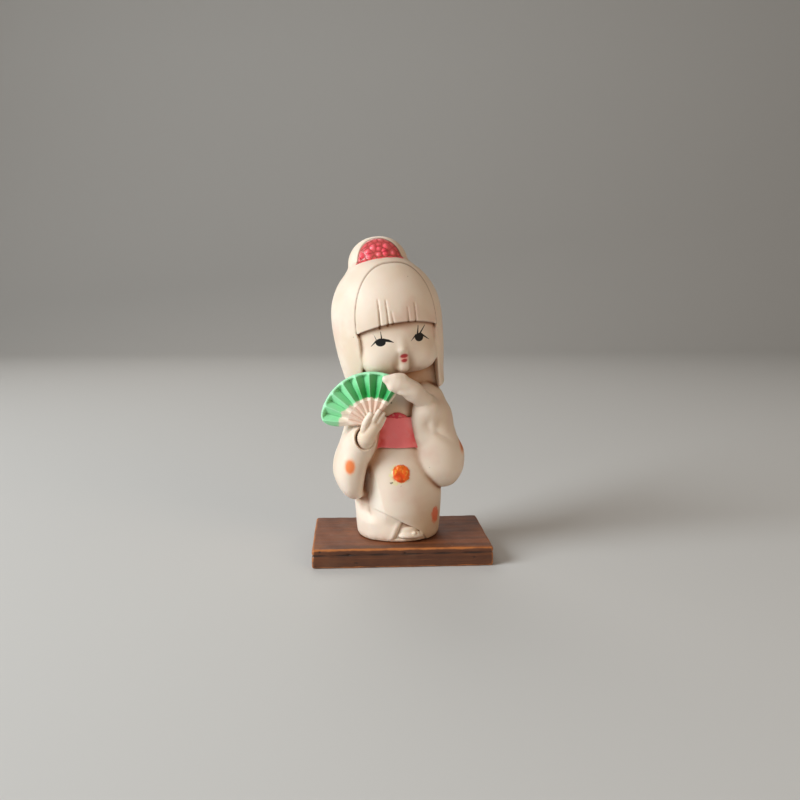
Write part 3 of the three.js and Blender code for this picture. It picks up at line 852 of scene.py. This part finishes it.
def age(paint, dirt_and_shade=1.0):
    """Marks that lie over vinyl and paint alike: airbrushed brown and painted shade in the recesses,
    painted shade in the creases, dark pressed lines, specks, and patchy brown near the base.
    """
    z = paint.axes(paint.place)[2]
    # Airbrushed brown and painted shade in the recesses.
    recess_airbrush_and_shade = (paint.mark("recess") + paint.noise(5) * 0.5).ramp(0.25, 1.35)
    paint.layer((184, 130, 88), recess_airbrush_and_shade * (0.85 * dirt_and_shade))
    # Painted shade in the creases.
    paint.layer(BROWN, (paint.mark("crease") + paint.noise(2.5) * 0.06).ramp(0.14, 0.6) * (0.75 * dirt_and_shade))
    paint.layer((124, 84, 56), paint.mark("line").ramp(0.3, 1.0) * 0.75)
    paint.layer((120, 90, 62), paint.flecks(2.2, 0.07, seed=2) * (0.7 * dirt_and_shade))
    paint.layer((70, 50, 36), paint.flecks(4.5, 0.08, seed=5) * (0.8 * dirt_and_shade))
    paint.layer((170, 128, 92), z.ramp(3.5, 0) * paint.noise(4, seed=4).ramp(0.35, 0.7) * 0.5)


def vinyl_skin(paint):
    """Cream vinyl: yellowed in broad patches and worn pale on what stands proud."""
    paint.layer((214, 186, 152), paint.noise(30, 2).ramp(0.42, 0.72) * 0.5)
    paint.layer((238, 227, 212), paint.noise(12, 3, seed=3).ramp(0.5, 0.75) * 0.5)
    paint.layer((224, 190, 174), paint.noise(17, 3, seed=8).ramp(0.5, 0.75) * 0.5)
    paint.layer((240, 232, 220), paint.mark("crease").ramp(-0.2, -0.6) * 0.4)


def skin_finish(paint, gloss=0.0):
    rough = paint.noise(7, 4, seed=6) * 0.22 + (0.36 - gloss) + paint.mark("recess").ramp(0, 1) * 0.15
    grain = paint.noise(0.55, 3) * 0.35 + paint.noise(5, 2, seed=1) + paint.flecks(1.6, 0.1, seed=9) * -0.6
    return paint.finish(rough, grain, Subsurface_Weight=0.1, Subsurface_Scale=0.0025,
                        Specular_IOR_Level=0.35)


def oval(x, z, centre, radii):
    """Distance outside an oval seen from the front, about right near its edge."""
    across, up = (x - centre[0]) / radii[0], (z - centre[1]) / radii[1]
    return ((across ** 2 + up ** 2) ** 0.5 - 1) * min(radii)


def stroke(x, z, start, end, width_start, width_end):
    """Distance outside a brush stroke between two points, of the given half-widths."""
    dx, dz = end[0] - start[0], end[1] - start[1]
    from_x, from_z = x - start[0], z - start[1]
    along = ((from_x * dx + from_z * dz) / (dx * dx + dz * dz)).most(0).least(1)
    across = ((from_x - along * dx) ** 2 + (from_z - along * dz) ** 2) ** 0.5
    return across - (along * (width_end - width_start) + width_start)


EYES = (
    {"iris": ((-9.2, 19.9), (2.35, 1.9)),
     "strokes": (((-13.8, 18.5), (-11.2, 20.7), 0.06, 0.42), ((-11.2, 20.6), (-7.6, 20.9), 0.5, 0.72),
                 ((-7.8, 20.9), (-5.4, 20.2), 0.75, 0.6), ((-5.4, 20.2), (-3.2, 19.1), 0.6, 0.1),
                 ((-8.6, 25.0), (-8.5, 21.2), 0.1, 0.36), ((-11.8, 23.8), (-10.9, 21.0), 0.03, 0.16))},
    {"iris": ((10.0, 19.6), (2.3, 2.0)),
     "strokes": (((5.4, 18.5), (8.4, 20.9), 0.06, 0.4), ((8.4, 20.8), (11.5, 20.8), 0.5, 0.5),
                 ((11.4, 20.9), (15.4, 17.7), 0.55, 0.08), ((10.3, 25.3), (9.4, 21.2), 0.14, 0.42),
                 ((14.0, 24.9), (10.6, 21.2), 0.12, 0.42))})


def face_paint():
    paint = Paint("face", VINYL)
    vinyl_skin(paint)
    x, y, z = paint.axes(paint.head_place)
    front = y.ramp(-6, -12)
    wobble = (paint.noise(1.6, 3, seed=11) - 0.5) * 0.55
    # Painted shade round the muzzle and beside the mouth, and on the lower cheeks and jaw.
    round_muzzle = oval(x, z, (FACE_MIDDLE, 7.5), (5.6, 7.0)).ramp(1.8, -2.4)
    on_muzzle = oval(x, z, (FACE_MIDDLE, 9.0), (2.5, 8.0)).ramp(0.8, -0.8)
    paint.layer((150, 108, 68), (round_muzzle - on_muzzle).most(0) * front * 0.65)
    paint.layer((176, 122, 82), (z + paint.noise(6, 2, seed=12) * 3).ramp(8.5, 3) * 0.5)
    # Painted shade under the fringe.
    under_fringe = (z - 24.5).ramp(-1, 4) * 0.5
    paint.layer((158, 116, 80), under_fringe * front)
    age(paint)
    blush = oval(x, z, (FACE_MIDDLE + 0.3, 10.7), (2.3, 2.7)).ramp(0.5, -1.2)
    paint.layer((236, 150, 140), blush * front * 0.7)
    for shift, height, radii in ((0.4, 11.8, (1.85, 0.95)), (0.3, 9.5, (1.45, 0.85))):
        lip = (oval(x, z, (FACE_MIDDLE + shift, height), radii) + wobble * 0.6).ramp(0.35, -0.3)
        paint.layer((176, 26, 36), lip * front * 0.92)
    ink = None
    for eye in EYES:
        parts = [oval(x, z, *eye["iris"])] + [stroke(x, z, *points) for points in eye["strokes"]]
        for part in parts:
            ink = part if ink is None else ink.least(part)
    ink = (ink + wobble * 0.18).ramp(0.12, -0.08) * front
    paint.layer((4, 3, 4), ink)
    return skin_finish(paint)


def hair_paint():
    paint = Paint("moulded_hair", VINYL)
    vinyl_skin(paint)
    x, y, z = paint.axes(paint.head_place)
    edge = abs(z - 28 + x * x * 0.0085).ramp(1.1, 0.1) * y.ramp(-14, -18)
    inside = abs(x - 0.7).ramp(19.4, 18.6)
    paint.layer((124, 80, 52), edge * inside * 0.75)
    age(paint)
    return skin_finish(paint)


def plain_vinyl(name):
    paint = Paint(name, VINYL)
    vinyl_skin(paint)
    age(paint)
    return skin_finish(paint)


def robe_paint():
    paint = Paint("robe", VINYL)
    vinyl_skin(paint)
    x, y, z = paint.axes(paint.place)
    front = y.ramp(-6, -10)
    # Painted shade over the lower right of the front.
    paint.layer((186, 146, 104), (z.ramp(30, 8) * x.ramp(-4, 16) * front) * 0.45)
    age(paint)
    ragged = (paint.noise(1.7, 3, seed=14) - 0.5) * 5.5
    away = oval(x, z, FLOWER, (4.2, 4.4)) + ragged * 0.4
    halo = oval(x, z, (FLOWER[0] - 1.1, FLOWER[1] - 0.6), (4.8, 4.6)) + ragged
    low_left = oval(x, z, (FLOWER[0] - 1.2, FLOWER[1] - 1.8), (3.0, 2.6)) + ragged * 0.5
    paint.layer((232, 226, 160), halo.ramp(0.5, -0.4) * front * 0.6)
    paint.layer((240, 104, 26), away.ramp(0.35, -0.3) * front)
    yellow_tips = away.ramp(0, -1) * paint.noise(1.4, 2, seed=15).ramp(0.52, 0.68)
    paint.layer((255, 176, 66), yellow_tips * front * 0.8)
    paint.layer((222, 66, 14), low_left.ramp(0.6, -0.8) * front * 0.75)
    # Painted highlight: a pale strip down the lit facet of the front panel.
    lit_facet = (oval(x + z * 0.22, z, (-11.2, 24), (2.6, 13)) + ragged * 0.4).ramp(0.6, -1.4)
    paint.layer((238, 232, 218), lit_facet * front * 0.5)
    for spot, size in (((-9.2, 30.6), 0.4), ((-8.3, 31.0), 0.25), ((-4.0, 29.2), 0.28), ((-5.4, 21.4), 0.2),
                       ((-7.2, 69.9), 0.32)):
        speck = (oval(x, z, spot, (size, size)) + ragged * 0.3).ramp(0.15, -0.2)
        paint.layer((66, 54, 34), speck * front * 0.75)
    motif = oval(x, z, (15.4, 11.6), (2.4, 4.2)) + ragged * 0.4
    paint.layer((222, 96, 48), motif.ramp(0.6, -0.7) * front * 0.85)
    return skin_finish(paint)


def sleeve_paint(name, centre, radii, colour):
    """A sleeve with one soft sprayed dot."""
    paint = Paint(name, VINYL)
    vinyl_skin(paint)
    age(paint)
    x, y, z = paint.axes(paint.place)
    front = y.ramp(-2, -6)
    blur = (paint.noise(2.2, 3, seed=16) - 0.5) * 0.9
    dot = oval(x, z, centre, radii) + blur
    paint.layer((250, 190, 150), dot.ramp(1.0, -0.2) * front * 0.6)
    paint.layer(colour, dot.ramp(0.3, -0.9) * front * 0.92)
    return skin_finish(paint)


def sash_paint(name, colour, deep):
    paint = Paint(name, colour)
    x, _, z = paint.axes(paint.place)
    # Deeper red towards +X and at the -X end: airbrushed deeper red and painted shade.
    paint.layer(deep, (x + paint.noise(8, 2, seed=20) * 8).ramp(2.5, 11) * 0.85)
    paint.layer(deep, (x * -1 + paint.noise(5, 2, seed=21) * 4).ramp(12, 15.5) * 0.95)
    paint.layer((248, 150, 154), paint.noise(6, 4, seed=22).ramp(0.5, 0.72) * 0.5)
    paint.layer((214, 60, 74), paint.flecks(1.5, 0.3, seed=23) * 0.5)
    paint.layer((240, 190, 178), paint.noise(1.1, 4, seed=24).ramp(0.7, 0.8) * 0.5)
    low, high = (z - SASH_LOW).ramp(0.8, -0.1), (z - SASH_HIGH).ramp(-0.4, 0.5)
    chipped = paint.noise(2.0, 3, seed=25).ramp(0.45, 0.7)
    paint.layer((226, 190, 170), (low + high) * chipped * 0.6)
    age(paint, 0.25)
    rough = paint.noise(3, 4, seed=26) * 0.25 + 0.3
    brushed = paint.noise(0.7, 3, seed=27, stretch=(0.25, 0.25, 1)) + paint.noise(3, 2, seed=28)
    return paint.finish(rough, brushed, depth=0.08, Coat_Weight=0.15, Coat_Roughness=0.25)


def ornament_paint():
    paint = Paint("ornament", (250, 82, 100))
    z = paint.axes(paint.head_place)[2]
    paint.layer((218, 20, 50), (z + paint.noise(6, 2, seed=30) * 8).ramp(67, 60) * 0.8)
    gap = paint.mark("bead")
    # Painted highlight: lighter pink on the crowns of some beads.
    paint.layer((255, 128, 138), gap.ramp(0.5, 1.7) * paint.noise(5, seed=31).ramp(0.3, 0.6) * 0.8)
    # Painted shade in the gaps between the beads.
    paint.layer((176, 22, 50), gap.ramp(0.5, 0.05) * 0.75)
    paint.layer((90, 14, 28), gap.ramp(0.2, 0.0) * paint.noise(3, seed=32).ramp(0.45, 0.6) * 0.7)
    age(paint, 0.45)
    rough = paint.noise(3, 3, seed=33) * 0.25 + 0.24
    return paint.finish(rough, paint.noise(0.8, 3, seed=34), depth=0.08, Coat_Weight=0.25, Coat_Roughness=0.2)


def fan_paint():
    paint = Paint("fan_leaf", (146, 230, 170))
    out, turn, pleat, shady = (paint.mark(name) for name in ("out", "turn", "pleat", "shady"))
    patchy = paint.noise(4.5, 3, seed=40)
    inner = (out + patchy * 6).ramp(27, 17)
    middle = turn.ramp(0.62, 0.4)
    paint.layer((20, 172, 74), (inner * middle) * 0.95)
    # Deeper green towards the fan's right end: deeper paint and painted shade.
    paint.layer((60, 170, 98), turn.ramp(0.5, 0.15) * 0.6)
    # Painted light: paler green in patches towards the fan's left end.
    paint.layer((150, 216, 166), turn.ramp(0.45, 0.8) * patchy.ramp(0.3, 0.6) * 0.6)
    paint.layer((40, 138, 66), (shady.ramp(0.3, 0.7) * turn.ramp(0.8, 0.45)) * 0.6)
    # Painted shade in the pleats' valleys.
    paint.layer((34, 130, 66), pleat.ramp(-0.7, -1.0) * 0.5)
    # Painted highlight along the pleats' ridges.
    paint.layer((176, 238, 192), pleat.ramp(0.8, 1.0) * 0.35)
    paint.layer((180, 242, 198), (out + patchy * 1.5).ramp(24.6, 26) * 0.7)
    bare = (out * -1 + paint.noise(2.0, 3, seed=41) * 3 + turn.ramp(0.55, 0.95) * 3.2).ramp(-12.4, -11.4)
    paint.layer(VINYL, bare)
    paint.layer(VINYL, turn.ramp(0.035, 0.01) * 0.9)
    paint.layer((20, 74, 44), paint.flecks(3.4, 0.12, seed=42) * 0.8)
    age(paint, 0.3)
    rough = paint.noise(3, 4, seed=43) * 0.25 + 0.34
    return paint.finish(rough, paint.noise(0.8, 4, seed=44) + paint.noise(4, 2, seed=45), depth=0.08)


def sticks_paint():
    paint = Paint("fan_sticks", VINYL)
    vinyl_skin(paint)
    paint.layer((206, 158, 136), paint.noise(6, 3, seed=46).ramp(0.3, 0.6) * 0.5)
    # Painted shade in the pleats' valleys.
    paint.layer((186, 138, 110), paint.mark("pleat").ramp(-0.3, -1) * 0.6)
    age(paint)
    return skin_finish(paint)


LOOKS = (
    (robe_paint, (), ("kimono_body",)),
    (plain_vinyl, ("vinyl",), ("under_robe", "bun", "left_hand", "right_hand", "foot")),
    (hair_paint, (), ("front_hair", "back_hair")),
    (face_paint, (), ("head",)),
    (sash_paint, ("sash", (255, 130, 136), (222, 42, 54)), ("sash", "sash_knot")),
    (sash_paint, ("scarf", (214, 46, 72), (186, 24, 44)), ("sash_scarf",)),
    (ornament_paint, (), ("hair_ornament",)),
    (fan_paint, (), ("fan_leaf",)),
    (sticks_paint, (), ("fan_sticks",)),
    (sleeve_paint, ("left_sleeve", (29.6, 48.2), (1.9, 4.6), (206, 112, 54)), ("left_sleeve",)),
    (sleeve_paint, ("right_sleeve", (-29.2, 39.6), (2.5, 3.6), (244, 132, 66)), ("right_sleeve",)),
)
for look, settings, names in LOOKS:
    material = look(*settings)
    for name in names:
        pieces[name].data.materials.append(material)


# ---------- plinth, peg and base plug ----------
PEG_RADIUS, BORE_PLAY = 3.0, 0.15      # the peg, and the room round it in its two bores


def wood(name, stain, pale, dark, wear):
    """Wood with its grain along X, and painted shade on its sides. wear is how much of the edges' stain is
    worn off.
    """
    paint = Paint(name, stain, figure=False)
    bend = paint.noise(30, 2, seed=50)
    fine = paint.noise(0.9, 5, seed=51, stretch=(0.035, 1, 1))
    broad = paint.noise(5, 4, seed=52, stretch=(0.06, 1, 1)) + bend * 0.4
    paint.layer(dark, broad.ramp(0.55, 0.9) * 0.6)
    paint.layer(pale, fine.ramp(0.52, 0.75) * 0.3)
    paint.layer(dark, paint.noise(0.5, 3, seed=53, stretch=(0.05, 1, 1)).ramp(0.6, 0.7) * 0.5)
    paint.layer(pale, paint.noise(18, 4, seed=59).ramp(0.5, 0.8) * 0.3)
    # Painted shade: the sides darker than the top.
    paint.layer((48, 26, 14), paint.mark("wall") * 0.55)
    paint.layer(pale, (paint.mark("edge") + paint.noise(6, 4, seed=54) * 0.9).ramp(0.95, 1.35) * wear)
    paint.layer((26, 15, 10), paint.mark("dent").ramp(0.2, 0.9) * 0.85)
    paint.layer((186, 150, 110), paint.flecks(5, 0.12, seed=55) * wear * 0.8)
    dust = paint.noise(14, 3, seed=56).ramp(0.5, 0.8)
    paint.layer((140, 112, 90), dust * 0.18)
    rough = paint.noise(4, 3, seed=57) * 0.3 + fine * 0.2 + 0.28
    return paint.finish(rough, fine * 1.4 + broad * 0.5, depth=0.16, Coat_Weight=0.12, Coat_Roughness=0.35)


def plinth():
    """A block with softened, nicked edges, a worn line along its front and the peg's hole in its top."""
    low, high = PLINTH_LOW, PLINTH_HIGH
    middle, half = (low + high) / 2, (high - low) / 2
    b = Block(low - 1.2, high + 1.2, 0.42 * FINE)
    x, y, z = b.p
    wave = 0.14 * np.sin(x * 0.23 + 1) * np.sin(y * 0.31) + 0.1 * np.sin(x * 0.61 + y * 0.17)
    q = [np.abs(axis - m) - h + 1.3 for axis, m, h in zip(b.p, middle, half)]
    outside = np.sqrt(sum(np.maximum(side, 0) ** 2 for side in q))
    field = outside + np.minimum(np.maximum(np.maximum(q[0], q[1]), q[2]), 0) - 1.3 + 0.12 + 0.5 * wave
    chance = np.random.default_rng(3)
    dents = np.zeros(b.shape, np.float32)
    for k in range(70):
        spot = middle + half * chance.uniform(-1, 1, 3)
        first, second = chance.permutation(3)[:2]
        spot[first] = middle[first] + half[first] * chance.choice((-1, 1))
        if k % 3:
            spot[second] = middle[second] + half[second] * chance.choice((-1, 1))
        radii = chance.uniform((0.3, 0.25, 0.2), (1.5, 0.7, 0.55))
        dent = ellipsoid(b.p, spot, radii)
        field = carve(field, dent, 0.4)
        dents = np.maximum(dents, smoothstep(0.5, -0.2, dent))
    line, _ = line_distance(x, z, (low[0] - 2, middle[2] + 1.6), (high[0] + 2, middle[2] + 2.1))
    scratch = np.exp(-(line / 0.6) ** 2) * (y < middle[1]) * (0.8 + 0.2 * np.sin(x * 0.4))
    field = field + 0.5 * scratch
    dents = np.maximum(dents, scratch)
    peg = Vector(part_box("display_peg")[0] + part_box("display_peg")[1]) / (2 * MM)
    bore = np.hypot(x - peg.x, y - peg.y) - PEG_RADIUS - BORE_PLAY
    field = carve(field, np.maximum(bore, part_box("display_peg")[0].z / MM - 0.05 - z), 0.25)
    vertices, quads = surface_net(b, field)
    vertices = settle(b, field, vertices)
    obj = make_object("plinth_block", vertices * MM, quads)
    near = np.sort(np.abs(np.abs(vertices - middle) - half), axis=1)
    add_attribute(obj, "edge", np.exp(-(near[:, 1] / 1.5) ** 2))
    add_attribute(obj, "wall", smoothstep(high[2] - 0.3, high[2] - 1.4, vertices[:, 2]))
    add_attribute(obj, "dent", b.sample(np.broadcast_to(dents, b.shape), vertices))
    finish_hard(obj, "plinth", "plinth",
                wood("stained_wood", (128, 70, 34), (190, 116, 58), (64, 33, 16), 0.85))


def lathe(name, outline, middle, sides=96):
    """A turned body. outline lists radius and height, from the axis at one end to the axis at the other."""
    rows = []
    for (r0, z0), (r1, z1) in zip(outline, outline[1:]):
        count = max(1, round(math.hypot(r1 - r0, z1 - z0) / 0.7))
        rows += [(r0 + (r1 - r0) * i / count, z0 + (z1 - z0) * i / count) for i in range(count)]
    rows = [row for row in rows if row[0] > 1e-6]
    turn = np.linspace(0, 2 * math.pi, sides, endpoint=False)
    x, y = middle[:2]
    rings = [np.c_[x + r * np.cos(turn), y + r * np.sin(turn), np.full(sides, z)] for r, z in rows]
    vertices = np.vstack(rings + [[(x, y, outline[0][1]), (x, y, outline[-1][1])]])
    faces = []
    for i in range(len(rows) - 1):
        for j in range(sides):
            k = (j + 1) % sides
            faces.append((i * sides + j, i * sides + k, (i + 1) * sides + k, (i + 1) * sides + j))
    last = (len(rows) - 1) * sides
    for j in range(sides):
        k = (j + 1) % sides
        faces.append((len(rows) * sides, k, j))
        faces.append((len(rows) * sides + 1, last + j, last + k))
    return make_object(name, vertices * MM, faces)


def finish_hard(obj, node, body, material):
    obj.data.materials.append(material)
    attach(obj, body)
    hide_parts(node)


def display_peg():
    low, high = (Vector(corner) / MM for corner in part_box("display_peg"))
    middle, r, cut = (low + high) / 2, PEG_RADIUS, 0.8
    obj = lathe("turned_peg", [(0, low.z), (r - cut, low.z), (r - 0.2, low.z + cut - 0.2), (r, low.z + cut),
                               (r, high.z - cut), (r - 0.15, high.z - cut + 0.3), (r - cut, high.z - 0.05),
                               (r - 1.2, high.z), (0, high.z)], middle)
    height = np.array([v.co.z for v in obj.data.vertices]) / MM
    add_attribute(obj, "edge", np.exp(-(np.minimum(high.z - height, height - low.z) / 1.0) ** 2))
    add_attribute(obj, "dent", np.zeros(len(height)))
    paint = Paint("bare_wood", (206, 170, 122), figure=False)
    fibres = paint.noise(0.35, 4, seed=60, stretch=(1, 1, 0.05))
    paint.layer((164, 118, 74), fibres.ramp(0.5, 0.72) * 0.7)
    paint.layer((228, 200, 158), paint.noise(2, 3, seed=61, stretch=(1, 1, 0.2)).ramp(0.5, 0.7) * 0.5)
    paint.layer((122, 84, 52), paint.mark("edge").ramp(0.4, 1) * 0.5)
    rough = paint.noise(2, 3, seed=62) * 0.25 + 0.5
    finish_hard(obj, "display_peg", "peg", paint.finish(rough, fibres, depth=0.12))


def base_plug():
    low, high = (Vector(corner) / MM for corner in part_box("base_plug"))
    middle, radius = (low + high) / 2, (high.x - low.x) / 2
    flange, boss, bore, base = 2.6, 5.8, PEG_RADIUS + BORE_PLAY, low.z
    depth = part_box("display_peg")[1].z / MM + 0.3
    outline = [(0, depth), (bore, depth), (bore, base + 0.6), (bore + 0.6, base), (radius - 4, base),
               (radius - 3.6, base + 0.5), (radius - 2.8, base + 0.5), (radius - 2.4, base),
               (radius - 0.5, base), (radius, base + 0.5), (radius, base + flange - 0.4),
               (radius - 0.4, base + flange), (boss + 0.8, base + flange), (boss, base + flange + 0.8),
               (boss, high.z - 0.6), (boss - 0.6, high.z), (0, high.z)]
    obj = lathe("moulded_plug", outline, middle)
    paint = Paint("bare_vinyl", (206, 178, 142), figure=False)
    paint.layer((176, 140, 100), paint.noise(6, 3, seed=70).ramp(0.45, 0.7) * 0.6)
    paint.layer((112, 82, 56), paint.flecks(1.6, 0.2, seed=71) * 0.6)
    paint.layer((228, 208, 180), paint.noise(2, 3, seed=72).ramp(0.55, 0.7) * 0.5)
    rough = paint.noise(3, 3, seed=73) * 0.2 + 0.5
    finish_hard(obj, "base_plug", "figure", paint.finish(rough, paint.noise(0.6, 3, seed=74)))


plinth()
display_peg()
base_plug()


# ---------- camera, light and floor ----------
def point_camera():
    data = bpy.data.cameras.new("camera")
    camera = bpy.data.objects.new("camera", data)
    bpy.context.scene.collection.objects.link(camera)
    bpy.context.scene.camera = camera
    data.lens, data.sensor_width = 36, 36
    camera.location = (-0.0247, -0.4086, 0.1337)
    yaw, pitch = math.radians(3.48), math.radians(7.52)
    aim = Vector((math.sin(yaw) * math.cos(pitch), math.cos(yaw) * math.cos(pitch), -math.sin(pitch)))
    camera.rotation_euler = aim.to_track_quat("-Z", "Y").to_euler()


def area_light(name, place, target, size, power, colour):
    data = bpy.data.lights.new(name, "AREA")
    data.shape, data.size, data.energy, data.color = "DISK", size, power, colour
    light = bpy.data.objects.new(name, data)
    bpy.context.scene.collection.objects.link(light)
    light.location = place
    light.rotation_euler = (Vector(target) - Vector(place)).to_track_quat("-Z", "Y").to_euler()


point_camera()
area_light("window", (-1.35, -0.62, 0.75), (0, 0, 0.08), 1.0, 31, (0.92, 0.97, 1.0))
area_light("room", (1.0, -1.1, 0.5), (0, 0, 0.08), 0.9, 4.2, (1.0, 0.7, 0.44))
area_light("back", (-0.3, 1.1, 1.1), (0, 0, 0.1), 0.9, 4, (1.0, 0.95, 0.9))
world = bpy.data.worlds.new("world")
bpy.context.scene.world = world
world.use_nodes = True
world.node_tree.nodes["Background"].inputs["Color"].default_value = (1.0, 0.88, 0.76, 1)
world.node_tree.nodes["Background"].inputs["Strength"].default_value = 0.2
bpy.context.scene.view_settings.view_transform = "Standard"


def studio_floor():
    """A plain pale sheet that lies flat and then curves up behind."""
    bend = [(1.4 + 0.9 * math.sin(a), 0.9 - 0.9 * math.cos(a)) for a in np.linspace(0, math.pi / 2, 24)]
    outline = [(-2.5, 0.0)] + bend + [(2.3, 3.0)]
    vertices = [(x, y, z) for y, z in outline for x in (-3.5, 3.5)]
    faces = [[2 * i, 2 * i + 1, 2 * i + 3, 2 * i + 2] for i in range(len(outline) - 1)]
    sheet = make_object("studio_floor", np.array(vertices), faces)
    material = bpy.data.materials.new("pale_paper")
    material.use_nodes = True
    shader = material.node_tree.nodes["Principled BSDF"]
    shader.inputs["Base Color"].default_value = shade(206, 206, 204)
    shader.inputs["Roughness"].default_value = 0.75
    sheet.data.materials.append(material)


studio_floor()
